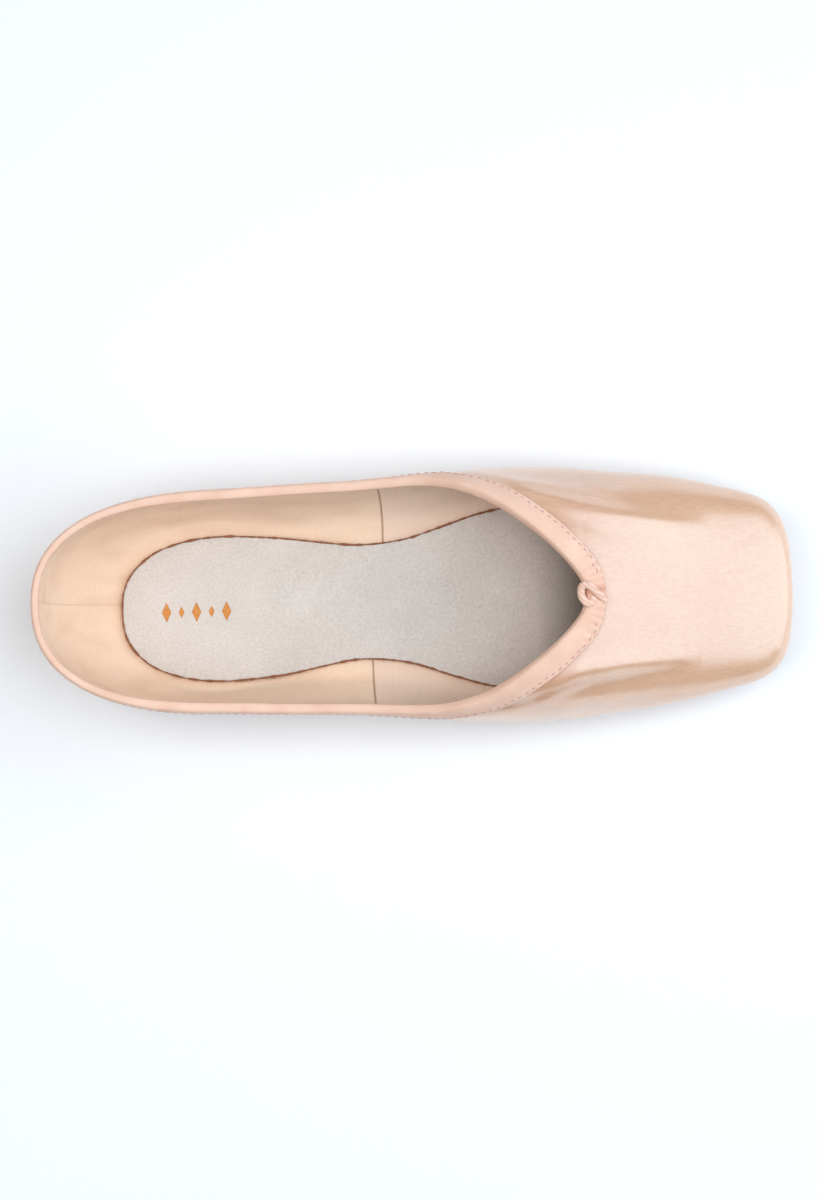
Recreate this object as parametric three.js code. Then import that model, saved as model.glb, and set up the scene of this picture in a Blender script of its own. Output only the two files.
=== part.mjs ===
// A satin pointe shoe, built straight, so that it fits either foot. Millimetres, +X to the toe, +Z up.
// The origin is on the floor under the middle of the shoe. Pieces: upper, binding, drawstring knot,
// insole and outsole. The upper is one hollow wall: it is open at the collar and throat, closed over the
// toes and round the platform, and open underneath where insole and outsole close it.
import * as THREE from "three";
import { mergeVertices } from "three/addons/utils/BufferGeometryUtils.js";

// Lengths and widths, outside
const shoeLength = 239;
const ballWidth = 82;
const waistWidth = 72.2;
const heelWidth = 68.8;
const platformWidth = 55.5;

// Heights above the floor
const heelHeight = 50.5;
const sideHeight = 36;
const throatHeight = 50.5;
const platformHeight = 27.5;
const archLift = 3.2;
const toeSpring = 4.6;

// Where the throat and the sections of the last lie, from the middle of the shoe
const throatReach = 51.95;
const throatWidth = 10.8;
const heelCentre = -61;
const toeBreak = 99;

// Walls and layers
const quarterWall = 1.5;
const boxWall = 3;
const outsoleThickness = 2.6;
const insoleThickness = 1.6;
const lastingMargin = 5;
const clearance = 0.3;
const boardClearance = 0.6;
const seatClearance = 0.45;
const bindingSlack = 0.45;

// The insole and the outsole, seen from above
const insoleHeelWidth = 47.6;
const insoleWaistWidth = 37.2;
const insoleBallWidth = 62.8;
const insoleLength = 202;
const insoleStart = -97.2;
const openingReach = 89;
const outsoleHeelWidth = 44;
const outsoleWaistWidth = 32.5;
const outsoleBallWidth = 58;
const outsoleLength = 194;
const outsoleStart = -98.4;
const outsoleBevel = 1.4;

// The folded tape round the collar, and the drawstring's knot at the throat
const bindingWidth = 6.8;
const bindingTipWidth = 5.6;
const bindingInside = 2.4;
const bindingThickness = 0.45;
const drawstringDiameter = 2;
const knotLength = 8.4;

const heelBack = -shoeLength / 2;
const toeEnd = shoeLength / 2;
const heelSway = 0.9; // how far the last swings to the right at the heel
const throatSway = 2.2; // how far the vamp's crest is drawn to the right at the throat
const insoleSway = 1.1; // how far the insole's heel was glued to the right
const heelSquareness = 2.4;
const toeSquareness = 4.3;
const platformSharpness = 0.55;
const fanLength = 80; // the stretch of the station line that turns round the heel
const heelStation = heelCentre - fanLength;

// A smooth curve through a table's column, with no overshoot between its rows.
function columnOf(rows, name) {
  const x = rows.map((row) => row.at);
  const y = rows.map((row) => row[name]);
  const last = x.length - 1;
  const steps = x.slice(1).map((value, i) => (y[i + 1] - y[i]) / (value - x[i]));
  const slopes = x.map((_, i) => {
    if (i === 0) return steps[0];
    if (i === last) return steps[last - 1];
    const [before, after] = [steps[i - 1], steps[i]];
    return before * after <= 0 ? 0 : (2 * before * after) / (before + after);
  });
  return (at) => {
    if (at <= x[0]) return y[0] + slopes[0] * (at - x[0]);
    if (at >= x[last]) return y[last] + slopes[last] * (at - x[last]);
    const i = x.findIndex((value, k) => k < last && at <= x[k + 1]);
    const span = x[i + 1] - x[i];
    const t = (at - x[i]) / span;
    const rise = t * t * (3 - 2 * t);
    return (
      y[i] * (1 - rise) +
      y[i + 1] * rise +
      span * (slopes[i] * t * (1 - t) ** 2 - slopes[i + 1] * t * t * (1 - t))
    );
  };
}

// How far the sole's underside stands off the floor: flat heel, arch, flat ball, toe spring.
const soleLine = columnOf(
  [
    { at: heelBack, z: 0 },
    { at: -0.195 * shoeLength, z: 0 },
    { at: -0.054 * shoeLength, z: archLift },
    { at: 0.117 * shoeLength, z: 0 },
    { at: 0.268 * shoeLength, z: 0 },
    { at: 0.349 * shoeLength, z: 0.22 * toeSpring },
    { at: 0.399 * shoeLength, z: 0.5 * toeSpring },
    { at: 0.46 * shoeLength, z: 0.74 * toeSpring },
    { at: toeEnd, z: toeSpring },
  ],
  "z",
);
const undersideOf = (x) => soleLine(x) + outsoleThickness + clearance;

// Half widths of the two plates under the foot.
const insole = {
  heelEnd: insoleStart,
  toeEnd: insoleStart + insoleLength,
  half: columnOf(
    [
      { at: heelCentre, half: 0.5 * insoleHeelWidth },
      { at: -0.19 * shoeLength, half: 0.475 * insoleHeelWidth },
      { at: -0.13 * shoeLength, half: 0.545 * insoleWaistWidth },
      { at: -0.078 * shoeLength, half: 0.5 * insoleWaistWidth },
      { at: -0.024 * shoeLength, half: 0.53 * insoleWaistWidth },
      { at: 0.036 * shoeLength, half: 0.385 * insoleBallWidth },
      { at: 0.097 * shoeLength, half: 0.456 * insoleBallWidth },
      { at: 0.187 * shoeLength, half: 0.5 * insoleBallWidth },
      { at: 0.3285 * shoeLength, half: 0.45 * insoleBallWidth },
      { at: 0.419 * shoeLength, half: 0.37 * insoleBallWidth },
    ],
    "half",
  ),
};
const outsole = {
  heelEnd: outsoleStart,
  toeEnd: outsoleStart + outsoleLength,
  half: columnOf(
    [
      { at: heelCentre, half: 0.5 * outsoleHeelWidth },
      { at: -0.19 * shoeLength, half: 0.47 * outsoleHeelWidth },
      { at: -0.078 * shoeLength, half: 0.5 * outsoleWaistWidth },
      { at: 0.016 * shoeLength, half: 0.4 * outsoleBallWidth },
      { at: 0.137 * shoeLength, half: 0.5 * outsoleBallWidth },
      { at: 0.248 * shoeLength, half: 0.49 * outsoleBallWidth },
      { at: 0.399 * shoeLength, half: 0.37 * outsoleBallWidth },
    ],
    "half",
  ),
};
// The opening underneath, between the edges of the lasted upper.
const opening = {
  heelEnd: insole.heelEnd + lastingMargin,
  toeEnd: openingReach,
  half: (x) => insole.half(x) - lastingMargin,
};
const plateNose = 26; // the stretch over which a plate's toe rounds off
const plateSquareness = 2.4;

// Half width of a plate at x, drawn in by an inset, with its rounded toe.
function plateHalf(plate, x, inset) {
  const noseStart = plate.toeEnd - plateNose;
  const along = Math.max(0, (x - noseStart) / (plateNose - inset));
  if (along >= 1) return 0;
  return (plate.half(x) - inset) * (1 - along ** plateSquareness) ** (1 / plateSquareness);
}

// Sections of the last. reach: half width, or the way back from the heel's centre on the first row.
// widest: height of the widest point. top: height of the arch, finished in the air where the collar is
// open. side and crown: fullness of the arch. flat: half width of the flat bottom. The upper stops at
// the height edge on the rows behind the throat, at the half width mouth beside it, or closes.
const ballHalf = ballWidth / 2;
const backRow = {
  at: heelStation,
  reach: heelCentre - heelBack,
  widest: 0.5 * heelHeight,
  top: 1.66 * heelHeight,
  side: 0.6,
  crown: 0.9,
  flat: 0.63 * (heelCentre - heelBack),
  belly: 0.5,
  edge: heelHeight,
  wall: quarterWall,
};
const sectionRows = [
  { at: heelCentre, reach: 0.5 * heelWidth, widest: 0.72 * sideHeight, top: 2.2 * sideHeight,
    side: 0.6, crown: 0.8, flat: 0.58 * insoleHeelWidth, belly: 0.5,
    edge: 0.6 * sideHeight + 0.4 * heelHeight, wall: quarterWall },
  { at: -0.155 * shoeLength, reach: 0.49 * waistWidth, widest: 0.72 * sideHeight, top: 2.05 * sideHeight,
    side: 0.6, crown: 0.78, flat: 0.64 * insoleWaistWidth, belly: 0.5,
    edge: 0.92 * sideHeight + 0.08 * heelHeight, wall: quarterWall },
  { at: -0.078 * shoeLength, reach: 0.5 * waistWidth, widest: 0.7 * sideHeight, top: 1.9 * sideHeight,
    side: 0.6, crown: 0.76, flat: 0.62 * insoleWaistWidth, belly: 0.5,
    edge: sideHeight, wall: quarterWall },
  { at: 0.006 * shoeLength, reach: 0.938 * ballHalf, widest: 0.64 * sideHeight, top: 1.22 * throatHeight,
    side: 0.58, crown: 0.72, flat: 0.4 * insoleBallWidth, belly: 0.52,
    edge: 0.95 * sideHeight + 0.08 * throatHeight, wall: quarterWall },
  { at: 0.0545 * shoeLength, reach: 0.976 * ballHalf, widest: 0.59 * sideHeight, top: 1.18 * throatHeight,
    side: 0.58, crown: 0.7, flat: 0.45 * insoleBallWidth, belly: 0.55,
    mouth: 0.846 * ballHalf, wall: 1.05 * quarterWall },
  { at: 0.097 * shoeLength, reach: 0.995 * ballHalf, widest: 0.56 * sideHeight, top: 1.13 * throatHeight,
    side: 0.58, crown: 0.68, flat: 0.495 * insoleBallWidth, belly: 0.56,
    mouth: 0.745 * ballHalf, wall: 1.15 * quarterWall },
  { at: 0.139 * shoeLength, reach: ballHalf, widest: 0.54 * sideHeight, top: 1.085 * throatHeight,
    side: 0.58, crown: 0.66, flat: 0.53 * insoleBallWidth, belly: 0.58,
    mouth: 0.57 * ballHalf, wall: 1.25 * quarterWall },
  { at: 0.18 * shoeLength, reach: 0.993 * ballHalf, widest: 0.53 * sideHeight, top: 1.04 * throatHeight,
    side: 0.57, crown: 0.65, flat: 0.53 * insoleBallWidth, belly: 0.58,
    mouth: 0.36 * ballHalf, wall: 0.5 * boxWall },
  { at: throatReach - 0.13 * throatWidth, reach: 0.981 * ballHalf, widest: 0.52 * sideHeight,
    top: 1.006 * throatHeight, side: 0.57, crown: 0.64, flat: 0.53 * insoleBallWidth, belly: 0.58,
    mouth: 0.52 * throatWidth, wall: 0.6 * boxWall },
  { at: throatReach - 0.03 * throatWidth, reach: 0.978 * ballHalf, widest: 0.52 * sideHeight,
    top: 1.001 * throatHeight, side: 0.57, crown: 0.64, flat: 0.53 * insoleBallWidth, belly: 0.58,
    mouth: 0.28 * throatWidth, wall: 0.64 * boxWall },
  { at: throatReach, reach: 0.977 * ballHalf, widest: 0.52 * sideHeight, top: throatHeight,
    side: 0.57, crown: 0.64, flat: 0.53 * insoleBallWidth, belly: 0.58,
    mouth: 0, wall: 0.65 * boxWall },
  { at: 0.268 * shoeLength, reach: 0.943 * ballHalf, widest: 0.51 * sideHeight, top: 0.9 * throatHeight,
    side: 0.57, crown: 0.64, flat: 0.505 * insoleBallWidth, belly: 0.58,
    mouth: 0, wall: 0.8 * boxWall },
  { at: 0.3235 * shoeLength, reach: 0.909 * ballHalf, widest: 0.5 * sideHeight, top: 0.785 * throatHeight,
    side: 0.57, crown: 0.64, flat: 0.48 * insoleBallWidth, belly: 0.58,
    mouth: 0, wall: 0.95 * boxWall },
  { at: 0.379 * shoeLength, reach: 0.848 * ballHalf, widest: 0.63 * platformHeight,
    top: 0.5 * platformHeight + 0.415 * throatHeight,
    side: 0.57, crown: 0.64, flat: 0.43 * insoleBallWidth, belly: 0.58,
    mouth: 0, wall: boxWall },
  { at: 0.432 * shoeLength, reach: 0.57 * platformWidth, widest: 0.62 * platformHeight,
    top: 0.88 * platformHeight + 0.125 * throatHeight,
    side: 0.57, crown: 0.64, flat: 0.365 * insoleBallWidth, belly: 0.58,
    mouth: 0, wall: boxWall },
  { at: toeEnd, reach: 0.5 * platformWidth, widest: 0.62 * platformHeight, top: 0.93 * platformHeight,
    side: 0.57, crown: 0.64, flat: 0.3 * insoleBallWidth, belly: 0.58,
    mouth: 0, wall: boxWall },
];

// The arch is a cubic curve from the widest point up to the ridge; share 0 to 1 runs along it.
function archPoint(row, share) {
  const back = 1 - share;
  const [a, b, c, d] = [back ** 3, 3 * back * back * share, 3 * back * share * share, share ** 3];
  return {
    reach: row.reach * (a + b + c * row.crown),
    z: row.widest + (row.top - row.widest) * (b * row.side + c + d),
  };
}

// How much of the arch the upper keeps: 1 where it closes over the toes.
function keptShare(row) {
  if (row.mouth === 0) return 1;
  let [low, high] = [0, 1];
  for (let i = 0; i < 40; i++) {
    const middle = (low + high) / 2;
    const point = archPoint(row, middle);
    const inside = row.mouth === undefined ? point.z < row.edge : point.reach > row.mouth;
    if (inside) low = middle;
    else high = middle;
  }
  return low;
}
backRow.kept = keptShare(backRow);
sectionRows.forEach((row) => (row.kept = keptShare(row)));
const columnNames = ["reach", "widest", "top", "side", "crown", "flat", "belly", "kept", "wall"];
const columns = columnNames.map((name) => [name, columnOf(sectionRows, name)]);

// The section at x, with its underside and the half width of the opening that the insole fills.
function sectionAt(x) {
  const row = Object.fromEntries(columns.map(([name, value]) => [name, value(x)]));
  row.kept = x >= throatReach ? 1 : row.kept;
  row.bottom = undersideOf(x);
  row.open = plateHalf(opening, x, 0);
  return row;
}
const heelSide = sectionAt(heelCentre);
const heelRear = {
  ...backRow,
  bottom: undersideOf(heelBack),
  open: heelCentre - opening.heelEnd,
};

// The outline of a section. level -2 to -1: the flat margin, -1 to 0: the belly, 0 to 1: the arch.
function sectionPoint(row, level) {
  if (level > 0) return archPoint(row, level);
  if (level <= -1) {
    return { reach: row.flat + (row.open - row.flat) * (-1 - level), z: row.bottom };
  }
  const share = level + 1;
  const back = 1 - share;
  const [a, b, c, d] = [back ** 3, 3 * back * back * share, 3 * back * share * share, share ** 3];
  return {
    reach: row.flat * (a + b * (1 - row.belly)) + row.reach * (b * row.belly + c + d),
    z: row.bottom * (a + b + c * row.belly) + row.widest * (c * (1 - row.belly) + d),
  };
}

// Two shares that run round the corner of a squared circle.
function roundCorner(angle, squareness) {
  const [c, s] = [Math.cos(angle), Math.sin(angle)];
  const size = (Math.abs(c) ** squareness + Math.abs(s) ** squareness) ** (1 / squareness);
  return [c / size, s / size];
}

// A point of the upper's outside on its +Y half. station runs round the heel and then along X.
function outside(station, level) {
  if (station < heelCentre) {
    const angle = (Math.PI / 2) * ((station - heelStation) / fanLength);
    const [backward, sideways] = roundCorner(angle, heelSquareness);
    const rear = sectionPoint(heelRear, level);
    const side = sectionPoint(heelSide, level);
    return new THREE.Vector3(
      heelCentre - rear.reach * backward,
      side.reach * sideways,
      rear.z * backward + side.z * (1 - backward),
    );
  }
  if (station <= toeBreak) {
    const point = sectionPoint(sectionAt(station), level);
    return new THREE.Vector3(station, point.reach, point.z);
  }
  const share = (station - toeBreak) / (toeEnd - toeBreak);
  const size = (share ** toeSquareness + (1 - share) ** toeSquareness) ** (1 / toeSquareness);
  const x = toeBreak + ((toeEnd - toeBreak) * share) / size;
  const shrink = (1 - share) / size;
  const lower = shrink ** platformSharpness;
  const row = sectionAt(x);
  const middle = (row.bottom + row.top) / 2;
  const point = sectionPoint(row, level);
  return new THREE.Vector3(x, point.reach * shrink, middle + (point.z - middle) * lower);
}

const probe = 0.01;
function slopesAt(station, level) {
  const along = outside(station + probe, level).sub(outside(station - probe, level));
  const up = outside(station, level + probe).sub(outside(station, level - probe));
  return [along.divideScalar(2 * probe), up.divideScalar(2 * probe)];
}

// The outward normal of the upper's outside.
function normalAt(station, level) {
  const [along, up] = slopesAt(station, level);
  const normal = up.cross(along).normalize();
  if (station <= heelStation) normal.setY(0);
  if (level >= 1) normal.setY(0);
  return normal.normalize();
}

// The share of the arch that is kept at a station.
function keptAt(station) {
  if (station >= throatReach) return 1;
  if (station >= heelCentre) return sectionAt(station).kept;
  const angle = (Math.PI / 2) * ((station - heelStation) / fanLength);
  const backward = roundCorner(angle, heelSquareness)[0];
  return heelRear.kept * backward + heelSide.kept * (1 - backward);
}
const wallAt = (station) => sectionAt(Math.max(station, heelCentre)).wall;

// Even steps from one value to another, without the first; ease above 1 bunches them at the end.
const stepsBetween = (from, to, count, ease = 1) =>
  Array.from({ length: count }, (_, i) => to - (to - from) * (1 - (i + 1) / count) ** ease);

// Places along a plate's rounded toe, closer together towards its end.
const noseSteps = 9;
function noseStations(plate, inset = 0) {
  return Array.from({ length: noseSteps }, (_, i) => {
    const angle = (Math.PI / 2) * (1 - (i + 1) / noseSteps);
    return plate.toeEnd - plateNose + (plateNose - inset) * roundCorner(angle, plateSquareness)[0];
  });
}

const capShare = 0.86;
const mouthStations = [
  heelStation,
  ...stepsBetween(heelStation, heelCentre, 11),
  ...stepsBetween(heelCentre, 0.05 * shoeLength, 11),
  ...stepsBetween(0.05 * shoeLength, throatReach, 10, 2.2),
];
const stations = [
  ...mouthStations,
  ...stepsBetween(throatReach, openingReach - plateNose, 2),
  ...noseStations(opening),
  ...stepsBetween(openingReach, toeBreak, 3),
  ...stepsBetween(toeBreak, toeBreak + capShare * (toeEnd - toeBreak), 9),
];
const marginSteps = 2;
const bellySteps = 6;
const archSteps = 8;

// Collects points and faces, and makes one closed geometry of them that faces out.
class Skin {
  points = [];
  faces = [];
  add(point) {
    return this.points.push(point) - 1;
  }
  triangle(a, b, c) {
    this.faces.push([a, b, c]);
  }
  quad(a, b, c, d, turned) {
    const [p, q, r, s] = turned ? [d, c, b, a] : [a, b, c, d];
    this.triangle(p, q, r);
    this.triangle(p, r, s);
  }
  geometry() {
    const flat = new THREE.BufferGeometry();
    const positions = this.faces.flat().flatMap((i) => this.points[i].toArray());
    flat.setAttribute("position", new THREE.Float32BufferAttribute(positions, 3));
    const merged = mergeVertices(flat, 1e-4);
    const index = merged.index.array;
    const kept = [];
    for (let i = 0; i < index.length; i += 3) {
      const [a, b, c] = index.subarray(i, i + 3);
      if (a !== b && b !== c && c !== a) kept.push(a, b, c);
    }
    if (signedVolume(merged.attributes.position, kept) < 0) kept.reverse();
    merged.setIndex(kept);
    merged.computeVertexNormals();
    return merged;
  }
}

function signedVolume(position, index) {
  const [a, b, c] = [new THREE.Vector3(), new THREE.Vector3(), new THREE.Vector3()];
  let volume = 0;
  for (let i = 0; i < index.length; i += 3) {
    a.fromBufferAttribute(position, index[i]);
    b.fromBufferAttribute(position, index[i + 1]);
    c.fromBufferAttribute(position, index[i + 2]);
    volume += a.dot(b.cross(c)) / 6;
  }
  return volume;
}

// The heel's swing to the right, along X.
const swayAt = columnOf(
  [
    { at: heelBack, y: -heelSway },
    { at: -0.4 * shoeLength, y: -heelSway },
    { at: -0.078 * shoeLength, y: -0.5 * heelSway },
    { at: 0.2 * shoeLength, y: -0.45 * heelSway },
    { at: 0.38 * shoeLength, y: 0 },
    { at: toeEnd, y: 0 },
  ],
  "y",
);

// The crest's pull to the right, along X. It grows from the sides to the throat's height.
const crestSwayAt = columnOf(
  [
    { at: 0, y: 0 },
    { at: 0.1 * shoeLength, y: -0.4 * throatSway },
    { at: 0.155 * shoeLength, y: -0.58 * throatSway },
    { at: throatReach, y: -0.96 * throatSway },
    { at: 0.24 * shoeLength, y: -throatSway },
    { at: 0.3 * shoeLength, y: -0.6 * throatSway },
    { at: 0.4 * shoeLength, y: 0 },
    { at: toeEnd, y: 0 },
  ],
  "y",
);
function crestShare(z) {
  const low = 0.7 * sideHeight;
  const high = 0.95 * throatHeight;
  const share = Math.min(1, Math.max(0, (z - low) / (high - low)));
  return share * share * (3 - 2 * share);
}

const mirrored = (point, side) => new THREE.Vector3(point.x, side * point.y, point.z);

// A point of the +Y half, set on its side of the swung midline.
function placed(point, side) {
  const spot = mirrored(point, side);
  const crest = point.x > 0 ? crestSwayAt(point.x) * crestShare(point.z) : 0;
  return spot.setY(spot.y + swayAt(point.x) + crest);
}

// The upper: outside, inside, and the rims at the collar and round the opening underneath.
function upperGeometry() {
  const skin = new Skin();
  const levelsAt = (station) => [
    ...Array.from({ length: marginSteps }, (_, i) => -2 + i / marginSteps),
    ...Array.from({ length: bellySteps }, (_, i) => -1 + i / bellySteps),
    ...Array.from({ length: archSteps + 1 }, (_, i) => (keptAt(station) * i) / archSteps),
  ];
  for (const side of [1, -1]) {
    const turned = side < 0;
    const grid = stations.map((station) => {
      const ends = levelsAt(station);
      return ends.map((level) => {
        const point = outside(station, level);
        if (station <= heelStation) point.setY(0);
        if (level >= 1) point.setY(0);
        const inward = normalAt(station, level).multiplyScalar(-wallAt(station));
        if (level === -2 && point.y === 0) inward.setY(0);
        const inner = point.clone().add(inward);
        return [skin.add(placed(point, side)), skin.add(placed(inner, side))];
      });
    });
    const last = grid[0].length - 1;
    for (let i = 0; i + 1 < grid.length; i++) {
      for (let j = 0; j < last; j++) {
        const [a, b, c, d] = [grid[i][j], grid[i + 1][j], grid[i + 1][j + 1], grid[i][j + 1]];
        skin.quad(a[0], b[0], c[0], d[0], turned);
        skin.quad(a[1], b[1], c[1], d[1], !turned);
      }
      const [near, far] = [grid[i][last], grid[i + 1][last]];
      if (stations[i] < throatReach) skin.quad(near[0], far[0], far[1], near[1], turned);
      const [low, next] = [grid[i][0], grid[i + 1][0]];
      if (stations[i] < openingReach) skin.quad(low[0], next[0], next[1], low[1], !turned);
    }
    // The middle of the platform, outside and inside.
    const ring = grid[grid.length - 1];
    for (const layer of [0, 1]) {
      const middle = new THREE.Vector3();
      const [bottom, top] = [skin.points[ring[0][layer]], skin.points[ring[last][layer]]];
      middle.addVectors(bottom, top).multiplyScalar(0.5);
      const centre = skin.add(middle);
      for (let j = 0; j < last; j++) {
        const [a, b] = [ring[j][layer], ring[j + 1][layer]];
        if (turned !== (layer === 0)) skin.triangle(b, a, centre);
        else skin.triangle(a, b, centre);
      }
    }
  }
  return skin.geometry();
}

// Walks over the upper's outside from a station and level, and returns where it ends.
function walk(start, direction, distance) {
  const steps = Math.max(1, Math.ceil(Math.abs(distance) / 2));
  let { station, level } = start;
  let heading = direction.clone();
  for (let i = 0; i < steps; i++) {
    const target = outside(station, level).addScaledVector(heading, distance / steps);
    for (let round = 0; round < 4; round++) {
      const [along, up] = slopesAt(station, level);
      const miss = target.clone().sub(outside(station, level));
      const [aa, au, uu] = [along.dot(along), along.dot(up), up.dot(up)];
      const [am, um] = [along.dot(miss), up.dot(miss)];
      const scale = aa * uu - au * au;
      station += (am * uu - um * au) / scale;
      level = Math.min(1, level + (um * aa - am * au) / scale);
    }
    const normal = normalAt(station, level);
    heading = heading.addScaledVector(normal, -heading.dot(normal)).normalize();
  }
  return { station, level };
}

// The collar's edge on the +Y half, each point with its outward normal and the way into the upper.
const edgeAt = (station) => {
  const level = keptAt(station);
  const point = outside(station, level);
  const ends = station <= heelStation || station >= throatReach;
  return { station, level, point: ends ? point.setY(0) : point };
};
const collarEdge = mouthStations.map(edgeAt);
collarEdge.forEach((edge, i) => {
  const before = i > 0 ? collarEdge[i - 1].point : mirrored(collarEdge[1].point, -1);
  const end = collarEdge.length - 1;
  const after = i < end ? collarEdge[i + 1].point : mirrored(collarEdge[end - 1].point, -1);
  edge.normal = normalAt(edge.station, edge.level);
  const tangent = after.clone().sub(before).normalize();
  edge.into = edge.normal.clone().cross(tangent).normalize();
  if (i === 0 || i === end) edge.into.setY(0).normalize();
});

// A point of the binding: depth into the upper from its edge, and lift off the upper's outside.
function bindingPoint(edge, depth, lift) {
  if (depth <= 0) {
    return edge.point.clone().addScaledVector(edge.into, depth).addScaledVector(edge.normal, lift);
  }
  const place = walk(edge, edge.into, depth);
  const point = outside(place.station, place.level);
  const normal = normalAt(place.station, place.level);
  if (edge.point.y === 0) {
    point.setY(0);
    normal.setY(0);
  }
  return point.addScaledVector(normal.normalize(), lift);
}

// The binding's section, from its stitched edge over the rim and down the inside.
function bindingOutline(edge) {
  const wall = wallAt(edge.station);
  const over = bindingSlack + bindingThickness;
  const under = -wall - bindingSlack;
  const beside = edge.station > heelCentre ? Math.min(1, edge.point.y / throatWidth) : 1;
  const width = bindingTipWidth + (bindingWidth - bindingTipWidth) * beside * beside * (3 - 2 * beside);
  return [
    { depth: width, lift: bindingSlack },
    { depth: width, lift: bindingSlack + 0.6 * bindingThickness },
    { depth: 0.9 * width, lift: over },
    { depth: 0.6 * width, lift: over },
    { depth: 0.3 * width, lift: over },
    { depth: 0, lift: over },
    { depth: -0.75 * over, lift: 0.55 * over },
    { depth: -over, lift: -0.2 * wall },
    { depth: -over, lift: -0.8 * wall },
    { depth: -0.75 * over, lift: under - 0.2 * bindingThickness },
    { depth: 0, lift: under - bindingThickness },
    { depth: bindingInside, lift: under - bindingThickness },
    { depth: bindingInside, lift: under },
    { depth: 0, lift: under },
    { depth: -bindingSlack, lift: -wall },
    { depth: -bindingSlack, lift: 0 },
    { depth: 0, lift: bindingSlack },
    { depth: 0.3 * width, lift: bindingSlack },
    { depth: 0.6 * width, lift: bindingSlack },
    { depth: 0.9 * width, lift: bindingSlack },
  ];
}

function bindingGeometry() {
  const skin = new Skin();
  for (const side of [1, -1]) {
    const rings = collarEdge.map((edge) =>
      bindingOutline(edge).map(({ depth, lift }) =>
        skin.add(placed(bindingPoint(edge, depth, lift), side)),
      ),
    );
    for (let i = 0; i + 1 < rings.length; i++) {
      for (let j = 0; j < rings[i].length; j++) {
        const next = (j + 1) % rings[i].length;
        skin.quad(rings[i][j], rings[i + 1][j], rings[i + 1][next], rings[i][next], side < 0);
      }
    }
  }
  return skin.geometry();
}

// A plate under the foot: layers, each with its outline, inset, height and shift to the left over x.
function plateGeometry(layers) {
  const skin = new Skin();
  const heelSteps = 10;
  const bodySteps = 26;
  const rows = layers.map(({ plate, inset, height, shift = () => 0 }) => {
    const noseStart = plate.toeEnd - plateNose;
    const points = [];
    for (let i = 0; i <= heelSteps; i++) {
      const [backward, sideways] = roundCorner((Math.PI / 2) * (i / heelSteps), heelSquareness);
      const x = heelCentre - (heelCentre - plate.heelEnd - inset) * backward;
      points.push([x, i === 0 ? 0 : (plate.half(heelCentre) - inset) * sideways]);
    }
    for (const x of stepsBetween(heelCentre, noseStart, bodySteps)) {
      points.push([x, plateHalf(plate, x, inset)]);
    }
    for (const x of noseStations(plate, inset)) {
      points.push([x, plateHalf(plate, x, inset)]);
    }
    return points.map(([x, half]) =>
      [1, -1].map((side) => {
        const spot = placed(new THREE.Vector3(x, half, height(x)), side);
        return skin.add(spot.setY(spot.y + shift(x)));
      }),
    );
  });
  for (let k = 0; k + 1 < rows.length; k++) {
    for (let i = 0; i + 1 < rows[k].length; i++) {
      const [a, b, c, d] = [rows[k][i], rows[k][i + 1], rows[k + 1][i + 1], rows[k + 1][i]];
      skin.quad(a[0], b[0], c[0], d[0], false);
      skin.quad(a[1], b[1], c[1], d[1], true);
    }
  }
  for (const [row, turned] of [[rows[0], true], [rows[rows.length - 1], false]]) {
    for (let i = 0; i + 1 < row.length; i++) {
      skin.quad(row[i][0], row[i + 1][0], row[i + 1][1], row[i][1], turned);
    }
  }
  return skin.geometry();
}

function outsoleGeometry() {
  const layer = (inset, share) => ({
    plate: outsole,
    inset: inset * outsoleBevel,
    height: (x) => soleLine(x) + share * outsoleThickness,
  });
  return plateGeometry([layer(1, 0), layer(0.3, 0.25), layer(0, 0.6), layer(0, 1)]);
}

// The insole lies on the upper's margin, and its board fills the opening down to the outsole.
const insoleSeat = (x) => undersideOf(x) + wallAt(x) + seatClearance;
const insoleShift = columnOf(
  [
    { at: heelBack, y: -insoleSway },
    { at: -0.2 * shoeLength, y: -insoleSway },
    { at: -0.07 * shoeLength, y: -0.45 * insoleSway },
    { at: toeEnd, y: -0.45 * insoleSway },
  ],
  "y",
);
function insoleGeometry() {
  const board = { plate: opening, inset: boardClearance };
  const layer = (inset, share) => ({
    plate: insole,
    inset: inset * insoleThickness,
    height: (x) => insoleSeat(x) + share * insoleThickness,
    shift: insoleShift,
  });
  return plateGeometry([
    { ...board, height: undersideOf },
    { ...board, height: insoleSeat },
    layer(0, 0),
    layer(0, 0.7),
    layer(0.4, 1),
  ]);
}

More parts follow.
